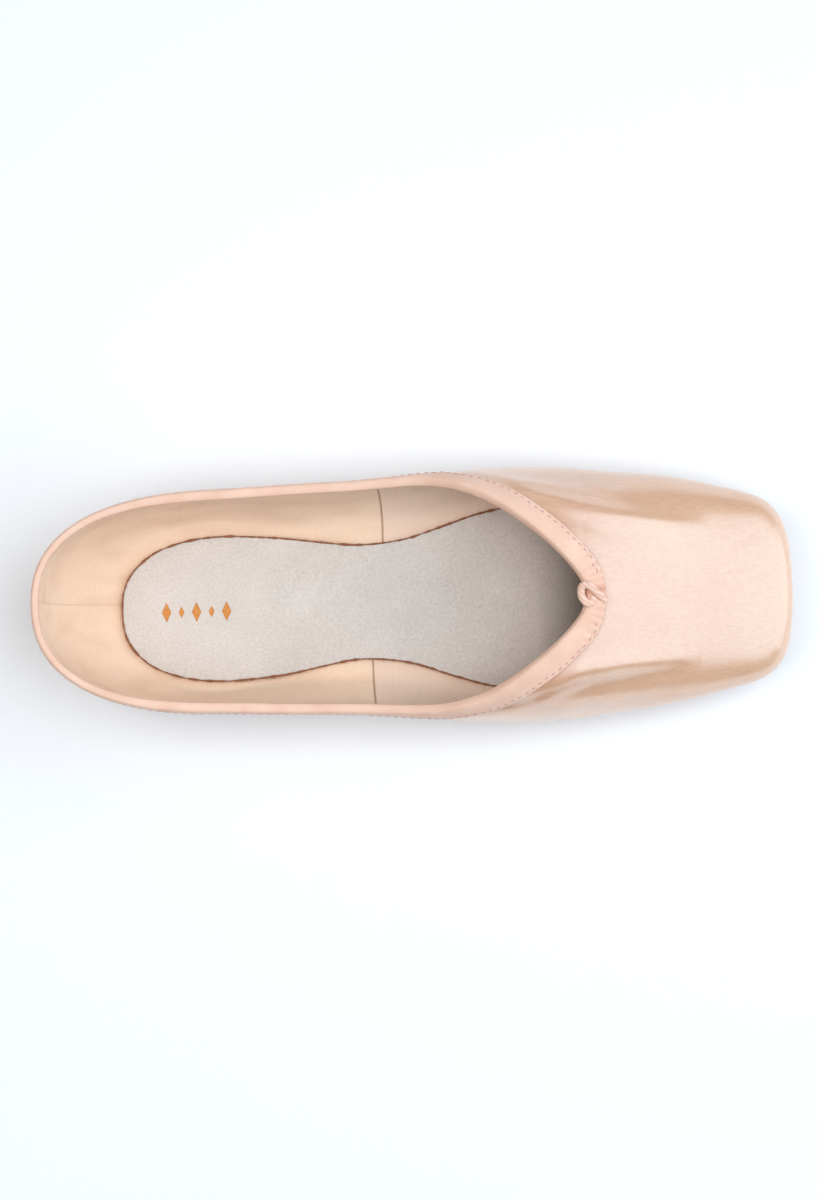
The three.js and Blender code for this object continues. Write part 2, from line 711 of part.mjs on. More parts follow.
// The drawstring comes out of the binding at the throat and curls into its knot.
// Places are shares of the knot's length: ahead of the binding's inner edge, to the left, and up.
const knotPath = [
  { ahead: 0.72, left: -0.18, up: 0 },
  { ahead: 0.52, left: -0.01, up: 0.12 },
  { ahead: 0.3, left: 0.18, up: 0.24 },
  { ahead: 0.06, left: 0.36, up: 0.22 },
  { ahead: -0.13, left: 0.35, up: 0.1 },
  { ahead: -0.2, left: 0.15, up: 0.02 },
  { ahead: -0.16, left: -0.09, up: 0 },
  { ahead: 0.02, left: -0.29, up: 0.01 },
  { ahead: 0.22, left: -0.23, up: 0.02 },
  { ahead: 0.27, left: -0.04, up: 0 },
];
function knotGeometry() {
  const tip = collarEdge[collarEdge.length - 1];
  const innerEdge = tip.point.x - bindingSlack - bindingThickness;
  const seatLift = bindingSlack + bindingThickness + clearance + drawstringDiameter / 2;
  const points = knotPath.map(({ ahead, left, up }) => {
    const x = innerEdge + ahead * knotLength;
    const lift = seatLift + up * knotLength;
    const slope = vampSlope(tip.point.x);
    const z = tip.point.z + (x - tip.point.x) * slope + lift;
    return placed(new THREE.Vector3(x, left * knotLength, z), 1);
  });
  const ring = new THREE.Shape();
  ring.absarc(0, 0, drawstringDiameter / 2, 0, 2 * Math.PI, false);
  const tube = new THREE.ExtrudeGeometry(ring, {
    steps: 34,
    curveSegments: 4,
    extrudePath: new THREE.CatmullRomCurve3(points),
  });
  tube.deleteAttribute("normal");
  tube.deleteAttribute("uv");
  const merged = mergeVertices(tube, 1e-4);
  merged.computeVertexNormals();
  return merged;
}

// How the vamp's ridge falls towards the toe at x.
function vampSlope(x) {
  const top = columns.find(([name]) => name === "top")[1];
  return (top(x + 1) - top(x - 1)) / 2;
}

const satin = new THREE.MeshStandardMaterial({ color: 0xe9c9b5, roughness: 0.42, metalness: 0 });
const tape = new THREE.MeshStandardMaterial({ color: 0xf1c8b4, roughness: 0.8, metalness: 0 });
const suede = new THREE.MeshStandardMaterial({ color: 0xd9d0c9, roughness: 0.95, metalness: 0 });
const leather = new THREE.MeshStandardMaterial({ color: 0xc9a27c, roughness: 0.7, metalness: 0 });
const cotton = new THREE.MeshStandardMaterial({ color: 0xf3d6c4, roughness: 0.85, metalness: 0 });

function piece(name, geometry, material) {
  const mesh = new THREE.Mesh(geometry, material);
  mesh.name = name;
  return mesh;
}

const shoe = new THREE.Group();
shoe.add(piece("upper", upperGeometry(), satin));
shoe.add(piece("binding", bindingGeometry(), tape));
shoe.add(piece("insole", insoleGeometry(), suede));
shoe.add(piece("outsole", outsoleGeometry(), leather));
shoe.add(piece("drawstring_knot", knotGeometry(), cotton));

export default shoe;
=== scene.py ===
import math
import random

import bpy
from mathutils import Matrix, Vector, noise
from mathutils.bvhtree import BVHTree
from mathutils.kdtree import KDTree


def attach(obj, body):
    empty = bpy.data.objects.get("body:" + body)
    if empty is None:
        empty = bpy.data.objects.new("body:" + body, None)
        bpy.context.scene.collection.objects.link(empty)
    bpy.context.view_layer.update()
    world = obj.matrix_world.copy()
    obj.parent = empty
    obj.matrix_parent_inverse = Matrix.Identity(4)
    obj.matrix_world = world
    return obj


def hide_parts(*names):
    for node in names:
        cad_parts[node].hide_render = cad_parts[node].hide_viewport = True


mm = 0.001  # sizes are thought of in millimetres and drawn in metres
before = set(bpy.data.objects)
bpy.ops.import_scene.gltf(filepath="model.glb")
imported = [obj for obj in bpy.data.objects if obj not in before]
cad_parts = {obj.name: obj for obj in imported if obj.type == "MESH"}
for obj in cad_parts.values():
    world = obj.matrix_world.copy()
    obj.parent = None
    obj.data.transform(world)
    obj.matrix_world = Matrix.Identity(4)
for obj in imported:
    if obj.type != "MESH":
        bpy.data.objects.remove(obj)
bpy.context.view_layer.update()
print("frame loaded:", ", ".join(sorted(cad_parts)))

# Where things lie on the shoe, in mm: along it from its middle, heel to toe, and above the floor
shoe = {
    "heelAxis": -61,  # middle of the heel's round end
    "toeAxis": 99,  # where the platform starts to round off
    "axisHeight": 21,  # every wall faces away from a line at this height
    "collarMiddle": -20,
    "underside": 2.9,  # of the upper, under heel and ball
    "toeSpring": 4.6,
    "springFrom": 66,
    "springFull": 128,
}


def linear(hexColour):
    channels = [int(hexColour[i:i + 2], 16) / 255 for i in (1, 3, 5)]
    return [*(c / 12.92 if c <= 0.04045 else ((c + 0.055) / 1.055) ** 2.4 for c in channels), 1.0]


def ease(low, high, value):
    share = min(1.0, max(0.0, (value - low) / (high - low)))
    return share * share * (3 - 2 * share)


def bell(distance, width):
    return math.exp(-((distance / width) ** 2))


def wander(place, grain, seed=0.0):  # smooth noise, as coarse along each axis as the grain is small
    return noise.noise(Vector((place.x * grain[0], place.y * grain[1], place.z * grain[2] + seed)))


# Shader nodes: a socket takes a value, or a (node, output) pair that is linked to it
def addNode(tree, kind, sockets, **settings):
    node = tree.nodes.new(kind)
    for name, value in settings.items():
        setattr(node, name, value)
    for socket, value in sockets.items():
        if isinstance(value, tuple) and isinstance(value[0], bpy.types.Node):
            tree.links.new(value[0].outputs[value[1]], node.inputs[socket])
        else:
            node.inputs[socket].default_value = value
    return node


def addMath(tree, operation, *terms):
    return addNode(tree, "ShaderNodeMath", dict(enumerate(terms)), operation=operation), "Value"


def addRamp(tree, value, low, high, start=0.0, end=1.0):
    sockets = {"Value": value, "From Min": low, "From Max": high, "To Min": start, "To Max": end}
    return addNode(tree, "ShaderNodeMapRange", sockets), "Result"


def addNoise(tree, source, scale, detail, roughness=0.5):
    sockets = {"Vector": source, "Scale": scale, "Detail": detail, "Roughness": roughness}
    return addNode(tree, "ShaderNodeTexNoise", sockets), "Fac"


def addWave(tree, source, direction, pitch, distortion, detailScale):
    scale = math.pi / (10 * pitch * mm)  # gives bands of this pitch
    sockets = {"Vector": source, "Scale": scale, "Distortion": distortion, "Detail Scale": detailScale}
    return addNode(tree, "ShaderNodeTexWave", sockets, bands_direction=direction), "Fac"


def addWeave(tree, source, directions, pitch, distortion, detailScale):
    waves = [addWave(tree, source, direction, pitch, distortion, detailScale) for direction in directions]
    return addMath(tree, "ADD", *waves)


def mixColours(tree, share, first, second):
    pair = [linear(colour) if isinstance(colour, str) else colour for colour in (first, second)]
    return addNode(tree, "ShaderNodeMix", {0: share, 6: pair[0], 7: pair[1]}, data_type="RGBA"), 2


def addPaintedFoldShade(tree):  # the painted shade of folds, creases and gathers at a point, as drawRelief left it on the mesh
    return addNode(tree, "ShaderNodeAttribute", {}, attribute_name="paintedFoldShade"), "Fac"


def alongShoe(tree, place):
    return addNode(tree, "ShaderNodeSeparateXYZ", {"Vector": place}), "X"


def startMaterial(name, values):
    material = bpy.data.materials.new(name)
    material.use_nodes = True
    tree = material.node_tree
    shader = tree.nodes["Principled BSDF"]
    for socket, value in values.items():
        shader.inputs[socket].default_value = value
    place = (addNode(tree, "ShaderNodeTexCoord", {}), "Object")
    return material, tree, shader, place


def joinMaterial(tree, shader, colour, height, strength, relief):
    bump = addNode(tree, "ShaderNodeBump", {"Height": height, "Strength": strength, "Distance": relief * mm})
    tree.links.new(colour[0].outputs[colour[1]], shader.inputs["Base Color"])
    tree.links.new(bump.outputs["Normal"], shader.inputs["Normal"])


# The seams where the panels of cloth meet, as lines on Object coordinates
seams = {
    "sideAt": -13.2 * mm,  # at collar height
    "lean": 0.075,  # down the left side the seam leans to the toe, down the right side to the heel
    "collarHeight": 36 * mm,
    "halfWidth": 0.14 * mm,
    "fade": 0.3 * mm,
    "backAt": 0.6 * mm,
    "backFrom": -80 * mm,
    "backStrength": 0.25,
}


def addSeamMask(tree, place):
    parts = addNode(tree, "ShaderNodeSeparateXYZ", {"Vector": place})
    x, y, z = ((parts, axis) for axis in "XYZ")
    drop = addMath(tree, "SUBTRACT", z, seams["collarHeight"])
    slant = addMath(tree, "MULTIPLY", addMath(tree, "SIGN", y), seams["lean"])
    lean = addMath(tree, "MULTIPLY", drop, slant)
    across = addMath(tree, "ADD", addMath(tree, "ADD", x, -seams["sideAt"]), lean)
    sideways = addMath(tree, "ADD", y, -seams["backAt"])
    outer = seams["halfWidth"] + seams["fade"]
    side, back = (
        addRamp(tree, addMath(tree, "ABSOLUTE", away), seams["halfWidth"], outer, 1.0, 0.0)
        for away in (across, sideways)
    )
    heel = addMath(tree, "LESS_THAN", x, seams["backFrom"])
    faint = addMath(tree, "MULTIPLY", heel, seams["backStrength"])
    seam = addMath(tree, "MAXIMUM", side, addMath(tree, "MULTIPLY", back, faint))
    ahead = addMath(tree, "GREATER_THAN", across, 0.0)
    return seam, ahead


# Peach satin: long silk-like floats woven over cotton, which give a soft, broad gloss
satin = {
    "light": "#ebbc97",
    "shade": "#dea784",
    # the crease colour is painted shade, laid into folds, creases and pleats
    "crease": "#b1795c",
    "seam": "#bf8d74",
    "roughness": 0.28,
    "yarn": 0.55,  # mm, drawn about three times as coarse as real floats, so that it shows
    "floats": (0.03, 1, 1),  # the yarn's noise is drawn out along the shoe
    "slubShare": 0.55,
    "patches": 28.0,
    "weft": 0.35,
    "seamGroove": 6.0,
    "yarnRelief": 0.004,  # mm
}


def makeSatin():
    material, tree, shader, place = startMaterial("peachSatin", {
        "Roughness": satin["roughness"], "IOR": 1.88, "Specular IOR Level": 1.0,
        "Coat Weight": 0.6, "Coat Roughness": 0.22, "Coat IOR": 1.5,
        "Sheen Weight": 0.1, "Sheen Roughness": 0.35, "Sheen Tint": linear("#ffe6d2"),
    })
    seam, _ = addSeamMask(tree, place)
    stretched = addNode(tree, "ShaderNodeMapping", {"Vector": place, "Scale": satin["floats"]})
    slub = addNoise(tree, (stretched, "Vector"), scale=0.8 / (satin["yarn"] * mm), detail=3.0)
    patch = addNoise(tree, place, scale=satin["patches"], detail=2.0)
    tone = addMath(tree, "MULTIPLY", patch, 1 - satin["slubShare"])
    both = addMath(tree, "MULTIPLY_ADD", slub, satin["slubShare"], tone)
    cloth = mixColours(tree, addRamp(tree, both, 0.35, 0.65), satin["shade"], satin["light"])
    # painted shade: folds, creases and pleats are painted darker with the crease colour
    creaseShaded = mixColours(tree, addPaintedFoldShade(tree), cloth, satin["crease"])
    sewn = mixColours(tree, seam, creaseShaded, satin["seam"])
    across = addWave(tree, place, "X", satin["yarn"], distortion=0.6, detailScale=3.0)
    weave = addMath(tree, "MULTIPLY_ADD", across, satin["weft"], slub)
    groove = addMath(tree, "MULTIPLY_ADD", seam, -satin["seamGroove"], weave)
    joinMaterial(tree, shader, sewn, groove, strength=1.0, relief=satin["yarnRelief"])
    return material


# Cotton canvas lining: plain weave, dull, with the vamp's lining a shade darker
lining = {
    "light": "#fbe1c8",
    "shade": "#f4d6bc",
    # painted shade, laid into the troughs of the lining's wrinkles
    "paintedFoldShade": "#d8b090",
    "vamp": "#f2d8c5",
    "vampShare": 0.7,
    "seam": "#c39a80",
    "seamGroove": 4.0,
    "vampStep": 3.0,
    "patches": 45.0,
    "thread": 0.75,  # mm
    "relief": 0.07,  # mm
    "paintedBoxShade": "#a07d63",  # painted shade: the cloth in the box is painted darker, where little light reaches
    "boxShadeFrom": 52 * mm,
    "boxShadeTo": 78 * mm,
}


def makeLining():
    material, tree, shader, place = startMaterial("cottonCanvas", {
        "Roughness": 0.92, "IOR": 1.46, "Specular IOR Level": 0.25,
        "Sheen Weight": 0.15, "Sheen Roughness": 0.6, "Sheen Tint": linear("#fff1e6"),
    })
    seam, ahead = addSeamMask(tree, place)
    patch = addNoise(tree, place, scale=lining["patches"], detail=4.0)
    flat = mixColours(tree, patch, lining["shade"], lining["light"])
    # painted shade: the wrinkles' troughs are painted darker
    cloth = mixColours(tree, addPaintedFoldShade(tree), flat, lining["paintedFoldShade"])
    front = addMath(tree, "MULTIPLY", ahead, lining["vampShare"])
    panels = mixColours(tree, front, cloth, lining["vamp"])
    # painted shade, darker towards the toes inside the box
    paintedDeepShade = addRamp(tree, alongShoe(tree, place), lining["boxShadeFrom"], lining["boxShadeTo"])
    boxShaded = mixColours(tree, paintedDeepShade, panels, lining["paintedBoxShade"])
    sewn = mixColours(tree, seam, boxShaded, lining["seam"])
    weave = addWeave(tree, place, "XZ", lining["thread"], distortion=1.2, detailScale=2.0)
    step = addMath(tree, "MULTIPLY_ADD", ahead, lining["vampStep"], weave)
    groove = addMath(tree, "MULTIPLY_ADD", seam, -lining["seamGroove"], step)
    joinMaterial(tree, shader, sewn, groove, strength=0.7, relief=lining["relief"])
    return material


# Cotton tape, cut on the cross and folded: matt, with fine slanting threads
tape = {
    "light": "#f7d0ba",
    "shade": "#eec2aa",
    # the crease colour is painted shade, laid into the gathers, the join and along the fold's edge
    "crease": "#d08d70",
    "patches": 120.0,
    "thread": 0.6,  # mm
    "slant": 42,  # degrees
    "relief": 0.04,  # mm
}


def makeTape():
    material, tree, shader, place = startMaterial("cottonTape", {
        "Roughness": 0.82, "IOR": 1.46, "Specular IOR Level": 0.3,
        "Sheen Weight": 0.2, "Sheen Roughness": 0.5, "Sheen Tint": linear("#fff1e6"),
    })
    patch = addNoise(tree, place, scale=tape["patches"], detail=4.0)
    cloth = mixColours(tree, addRamp(tree, patch, 0.3, 0.7), tape["shade"], tape["light"])
    # painted shade: gathers, the join and the fold's edge are painted darker with the crease colour
    creaseShaded = mixColours(tree, addPaintedFoldShade(tree), cloth, tape["crease"])
    slant = (0, 0, math.radians(tape["slant"]))
    turned = addNode(tree, "ShaderNodeMapping", {"Vector": place, "Rotation": slant})
    weave = addWeave(tree, (turned, "Vector"), "XY", tape["thread"], distortion=0.8, detailScale=3.0)
    joinMaterial(tree, shader, creaseShaded, weave, strength=0.7, relief=tape["relief"])
    return material


# Brushed suede insole: a short nap that scatters light, mottled where it was brushed
suede = {
    "light": "#e4ddd6",
    "shade": "#c9c0b9",
    "nap": 0.8,  # mm
    "napShare": 0.75,
    "mottles": 70.0,
    "relief": 0.1,  # mm
    "paintedDeepShade": "#46331f",  # painted shade in the room of the toes
    "deepShadeFrom": 38 * mm,
    "deepShadeTo": 58 * mm,
}


def makeSuede():
    material, tree, shader, place = startMaterial("brushedSuede", {
        "Roughness": 0.96, "IOR": 1.46, "Specular IOR Level": 0.2,
        "Sheen Weight": 0.3, "Sheen Roughness": 0.5, "Sheen Tint": linear("#f4efe9"),
    })
    nap = addNoise(tree, place, scale=1 / (suede["nap"] * mm), detail=6.0, roughness=0.7)
    mottle = addNoise(tree, place, scale=suede["mottles"], detail=3.0)
    tone = addMath(tree, "MULTIPLY", mottle, 1 - suede["napShare"])
    both = addMath(tree, "MULTIPLY_ADD", nap, suede["napShare"], tone)
    brushed = mixColours(tree, addRamp(tree, both, 0.33, 0.67), suede["shade"], suede["light"])
    # painted shade: the insole is painted darker towards the room of the toes
    paintedDeepShade = addRamp(tree, alongShoe(tree, place), suede["deepShadeFrom"], suede["deepShadeTo"])
    colour = mixColours(tree, paintedDeepShade, brushed, suede["paintedDeepShade"])
    joinMaterial(tree, shader, colour, both, strength=0.6, relief=suede["relief"])
    return material


# The insole's cut edge: raw brown leather that shows as a thin dark line
rawEdge = {"light": "#9a6546", "shade": "#8a5a3c", "grain": 900.0, "relief": 0.1}


def makeRawEdge():
    material, tree, shader, place = startMaterial("rawLeatherEdge", {"Roughness": 0.85, "IOR": 1.48})
    grain = addNoise(tree, place, scale=rawEdge["grain"], detail=4.0)
    colour = mixColours(tree, grain, rawEdge["shade"], rawEdge["light"])
    joinMaterial(tree, shader, colour, grain, strength=0.5, relief=rawEdge["relief"])
    return material


# Vegetable-tanned sole leather: split and roughened, tan, with a fibrous grain
soleLeather = {
    "light": "#cda884",
    "shade": "#b18a66",
    "patches": 70.0,
    "scuff": "#dcc3a6",
    "scuffs": 420.0,
    "scuffShare": 0.6,
    "fibres": (0.12, 1, 1),  # the scuffs are drawn out along the shoe
    "grain": 0.8,  # mm
    "relief": 0.08,  # mm
}


def makeSoleLeather():
    material, tree, shader, place = startMaterial("vegetableTannedLeather", {
        "Roughness": 0.68, "IOR": 1.48, "Specular IOR Level": 0.4,
    })
    cells = {"Vector": place, "Scale": 1 / (soleLeather["grain"] * mm)}
    grain = addNode(tree, "ShaderNodeTexVoronoi", cells, feature="SMOOTH_F1")
    patch = addNoise(tree, place, scale=soleLeather["patches"], detail=6.0, roughness=0.6)
    base = mixColours(tree, patch, soleLeather["shade"], soleLeather["light"])
    lengthways = addNode(tree, "ShaderNodeMapping", {"Vector": place, "Scale": soleLeather["fibres"]})
    scuff = addNoise(tree, (lengthways, "Vector"), scale=soleLeather["scuffs"], detail=3.0)
    worn = addRamp(tree, scuff, 0.6, 0.72, end=soleLeather["scuffShare"])
    colour = mixColours(tree, worn, base, soleLeather["scuff"])
    relief = addMath(tree, "MULTIPLY_ADD", scuff, 0.5, (grain, "Distance"))
    joinMaterial(tree, shader, colour, relief, strength=0.5, relief=soleLeather["relief"])
    return material


# Spun cotton: the drawstring's plied cord and the sewing thread
cord = {"light": "#f6d3c0", "shade": "#e5b59e", "ply": 0.9}
thread = {"light": "#cda5ac", "shade": "#a67e8a", "ply": 0.3}


def makeCotton(name, yarn):
    material, tree, shader, place = startMaterial(name, {
        "Roughness": 0.88, "IOR": 1.46, "Specular IOR Level": 0.25,
        "Sheen Weight": 0.25, "Sheen Roughness": 0.5, "Sheen Tint": linear("#fff1e6"),
    })
    twist = addWave(tree, place, "DIAGONAL", yarn["ply"], distortion=1.5, detailScale=2.0)
    colour = mixColours(tree, twist, yarn["shade"], yarn["light"])
    joinMaterial(tree, shader, colour, twist, strength=0.7, relief=0.1)
    return material


# Hot-stamped gold foil: thin, bright metal pressed into the nap, broken up a little by it
gold = {"light": "#c48a50", "shade": "#8a5226", "specks": 1600.0, "relief": 0.05}


def makeFoil():
    material, tree, shader, place = startMaterial("goldFoil", {"Metallic": 1.0, "Roughness": 0.45})
    speck = addNoise(tree, place, scale=gold["specks"], detail=3.0)
    colour = mixColours(tree, speck, gold["shade"], gold["light"])
    joinMaterial(tree, shader, colour, speck, strength=0.5, relief=gold["relief"])
    return material


satinCloth = makeSatin()
liningCloth = makeLining()
tapeCloth = makeTape()
suedeLeather = makeSuede()
cutEdge = makeRawEdge()
tanLeather = makeSoleLeather()
cordCotton = makeCotton("drawstringCotton", cord)
threadCotton = makeCotton("sewingThread", thread)
goldFoil = makeFoil()
print("materials made")

# Copying and refining a CAD node
meshing = {
    "weld": 0.02,  # mm
    "quadBend": 50,  # degrees that two triangles may be bent and still make one face
    "quadSkew": 70,
}


def selectOnly(piece):
    bpy.ops.object.select_all(action="DESELECT")
    piece.select_set(True)
    bpy.context.view_layer.objects.active = piece


def copyNode(nodeName, pieceName):
    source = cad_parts[nodeName]
    piece = bpy.data.objects.new(pieceName, source.data.copy())
    piece.data.transform(source.matrix_world)
    piece.data.materials.clear()
    bpy.context.scene.collection.objects.link(piece)
    selectOnly(piece)
    bpy.ops.mesh.customdata_custom_splitnormals_clear()
    bpy.ops.object.mode_set(mode="EDIT")
    bpy.ops.mesh.select_all(action="SELECT")
    bpy.ops.mesh.remove_doubles(threshold=meshing["weld"] * mm)
    bpy.ops.mesh.tris_convert_to_quads(
        face_threshold=math.radians(meshing["quadBend"]),
        shape_threshold=math.radians(meshing["quadSkew"]),
    )
    bpy.ops.mesh.mark_sharp(clear=True)
    bpy.ops.object.mode_set(mode="OBJECT")
    bpy.ops.object.shade_smooth()
    return piece


def refine(piece, levels):
    selectOnly(piece)
    rounding = piece.modifiers.new("rounding", "SUBSURF")
    rounding.levels = rounding.render_levels = levels
    bpy.ops.object.modifier_apply(modifier=rounding.name)


def subdivideFaces(piece, wanted):
    selectOnly(piece)
    bpy.ops.object.mode_set(mode="EDIT")
    bpy.ops.mesh.select_mode(type="FACE")
    bpy.ops.mesh.select_all(action="DESELECT")
    bpy.ops.object.mode_set(mode="OBJECT")
    for face in piece.data.polygons:
        face.select = wanted(face.center / mm, face.normal)
    bpy.ops.object.mode_set(mode="EDIT")
    bpy.ops.mesh.subdivide(number_cuts=1)
    bpy.ops.object.mode_set(mode="OBJECT")


# Moves each point along its normal, by what the function gives in mm, and keeps the painted shade of its
# folds and creases
def drawRelief(piece, relief):
    mesh = piece.data
    normals = [point.normal.copy() for point in mesh.vertices]
    shades = []
    for point, normal in zip(mesh.vertices, normals):
        lift, shade = relief(point.co / mm, normal)
        point.co += normal * lift * mm
        shades.append(min(1.0, max(0.0, shade)))
    mesh.attributes.new("paintedFoldShade", "FLOAT", "POINT").data.foreach_set("value", shades)
    mesh.update()


def facesOut(place, normal):
    along = min(max(place.x, shoe["heelAxis"]), shoe["toeAxis"])
    return (place - Vector((along, 0, shoe["axisHeight"]))).dot(normal) > 0


def joinPieces(pieces, name):
    selectOnly(pieces[0])
    for piece in pieces:
        piece.select_set(True)
    bpy.ops.object.join()
    joined = bpy.context.active_object
    joined.name = name
    return joined


def finishPiece(piece, slot, *nodes):
    selectOnly(piece)
    bpy.ops.object.shade_smooth()
    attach(piece, "root")
    if nodes:
        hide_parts(*nodes)


def surfaceOf(piece):
    mesh = piece.data
    places = [point.co.copy() for point in mesh.vertices]
    return BVHTree.FromPolygons(places, [tuple(face.vertices) for face in mesh.polygons])


def makeTree(places):
    tree = KDTree(len(places))
    for i, place in enumerate(places):
        tree.insert(place, i)
    tree.balance()
    return tree


# The binding: folded tape round the collar, with the drawstring's ridge inside it.
# Distances across the tape are from its stitched side.
binding = {
    "foldEdge": 0.33,  # the only edges shorter than this, in mm, are along its stitched side
    "loopPoints": 1600,
    "ridge": 0.22,
    "ridgeAt": 5.1,
    "ridgeWidth": 1.2,
    "stitchRow": 2.0,
    "stitchPull": 0.14,
    "stitchWidth": 0.5,
    "ripple": 0.03,
    "ripplePitch": 3.1,
    "rippleWander": 5,
    "rippleGrain": 0.13,
    "rippleAt": 2.2,
    "rippleWidth": 2.2,
    "rippleFloor": 0.35,  # what is left of the ripples away from the stitches
    "gather": 0.2,  # where the drawstring pulls it together at the throat's tip
    "gatherFrom": 47,
    "gatherFull": 56,
    "gatherShade": 0.25,
    "edgeShade": 0.6,  # of the thin shadow that the fold's edge throws on the satin
    "edgeFrom": 0.15,
    "edgeTo": 0.6,
    "edgeFloor": 0.35,  # what is left of that shadow at the heel
    "edgeFull": 45,
    "joinAt": -1.2,  # where its two ends meet at the throat
    "joinLean": 0.12,
    "joinLeanFrom": 51,
    "joinDepth": 0.7,
    "joinWidth": 0.8,
    "joinShade": 0.7,
    "joinFrom": 48,
    "joinFull": 50,
    "joinShadeFull": 52,
}
slimming = {
    "share": 0.3,
    "from": -70,
    "full": -108,
    "reach": 5,  # across the tape
    "lowest": 36,
    "allAbove": 46,
}


def closedCurve(points, count):  # a smooth curve through the points, as so many new ones
    curve = []
    total = len(points)
    for i in range(count):
        at = i * total / count
        k, t = int(at), at - int(at)
        p0, p1, p2, p3 = (points[(k + step) % total] for step in (-1, 0, 1, 2))
        curve.append(0.5 * (
            2 * p1
            + (p2 - p0) * t
            + (2 * p0 - 5 * p1 + 4 * p2 - p3) * t ** 2
            + (3 * p1 - p0 - 3 * p2 + p3) * t ** 3
        ))
    return curve


def distanceFromAxis(place):
    return (place - Vector((max(place.x, shoe["heelAxis"]), 0, shoe["axisHeight"]))).length


def findStitchedSide(piece):
    mesh = piece.data
    points = []
    for edge in mesh.edges:
        ends = [mesh.vertices[i].co / mm for i in edge.vertices]
        if (ends[0] - ends[1]).length < binding["foldEdge"]:
            points.append(max(ends, key=distanceFromAxis))
    points.sort(key=lambda place: math.atan2(place.y, place.x - shoe["collarMiddle"]))
    return points


# At the heel the folded tape is pulled thin, so that it shows narrow from above
def slimHeel(piece, side):
    plan = makeTree([Vector((place.x, place.y, 0)) for place in side])
    for point in piece.data.vertices:
        place = point.co / mm
        if place.x > slimming["from"] or place.z < slimming["lowest"]:
            continue
        _, _, away = plan.find(Vector((place.x, place.y, 0)))
        amount = slimming["share"] * min(away, slimming["reach"])
        amount *= ease(-slimming["from"], -slimming["full"], -place.x)
        amount *= ease(slimming["lowest"], slimming["allAbove"], place.z)
        outward = Vector((place.x - shoe["heelAxis"], place.y, 0)).normalized()
        point.co += outward * amount * mm


def makeBinding():
    piece = copyNode("binding", "collarBinding")
    side = closedCurve(findStitchedSide(piece), binding["loopPoints"])
    refine(piece, 3)
    slimHeel(piece, side)
    tree = makeTree(side)
    lengths = [0.0]
    for before, place in zip(side, side[1:]):
        lengths.append(lengths[-1] + (place - before).length)

    def relief(place, normal):
        _, index, away = tree.find(place)
        run = lengths[index]
        lift, shade = 0.0, 0.0
        if facesOut(place, normal):
            throat = ease(binding["gatherFrom"], binding["gatherFull"], place.x)
            drift = noise.noise(Vector((run * binding["rippleGrain"], 0, 7)))
            wave = math.sin(2 * math.pi * run / binding["ripplePitch"] + binding["rippleWander"] * drift)
            strength = binding["ripple"] + binding["gather"] * throat
            floor = binding["rippleFloor"]
            near = floor + (1 - floor) * bell(away - binding["rippleAt"], binding["rippleWidth"])
            lift += binding["ridge"] * bell(away - binding["ridgeAt"], binding["ridgeWidth"])
            lift -= binding["stitchPull"] * bell(away - binding["stitchRow"], binding["stitchWidth"])
            lift += strength * wave * near
            shade += binding["gatherShade"] * max(0.0, -wave) * throat
            edge = 1 - ease(binding["edgeFrom"], binding["edgeTo"], away)
            floor = binding["edgeFloor"]
            ahead = floor + (1 - floor) * ease(0, binding["edgeFull"], place.x)
            shade += binding["edgeShade"] * edge * ahead
        if place.x > binding["joinFrom"]:
            middle = binding["joinAt"] + binding["joinLean"] * (place.x - binding["joinLeanFrom"])
            join = bell(place.y - middle, binding["joinWidth"])
            begun = ease(binding["joinFrom"], binding["joinFull"], place.x)
            shaded = ease(binding["joinFull"], binding["joinShadeFull"], place.x)
            lift -= binding["joinDepth"] * join * begun
            shade += binding["joinShade"] * join * shaded
        return lift, shade

    drawRelief(piece, relief)
    piece.data.materials.append(tapeCloth)
    finishPiece(piece, "binding", "binding")
    print("binding:", len(piece.data.polygons), "faces,", round(lengths[-1]), "mm round")
    return piece, side


collarBinding, stitchedSide = makeBinding()
collar = makeTree(stitchedSide)

# The upper: satin outside, canvas inside, pleated under the toe and gathered under the heel
pleats = {
    "centre": 64,  # they fan out from here
    "pitch": 8.0,  # degrees
    "depth": 0.85,
    "reach": 104,  # degrees to each side
    "fadeFrom": 2.5,  # above the underside
    "fadeTo": 10.0,
    "wander": 1.5,
}
heelGathers = {
    "centre": -66,
    "pitch": 11.0,
    "depth": 0.45,
    "reach": 80,
    "fadeFrom": 2.0,
    "fadeTo": 9.0,
    "wander": 1.0,
}
pleatShape = {
    "rise": 0.8,  # of the pitch, before it folds back
    "level": 0.6,  # of the depth, which lies at the surface
    "shade": 0.75,
    "sideFade": 0.75,  # of the reach, where the last pleats start to run out
}
pleatedPart = {"from": 60, "below": 15, "beyond": 20, "steepest": 0.1}  # gets finer faces
vamp = {"bendAt": 52, "bend": 0.085, "round": 9, "above": 20, "allAbove": 30}
cloth = {
    "sag": 0.4,  # of the lining, broad
    "sagGrain": (0.05, 0.05, 0.09),
    "wrinkle": 0.4,  # of the lining, narrow
    "wrinkleGrain": (0.05, 0.21, 0.14),
    "wave": 0.12,  # of the satin
    "waveGrain": (0.045, 0.08, 0.08),
}
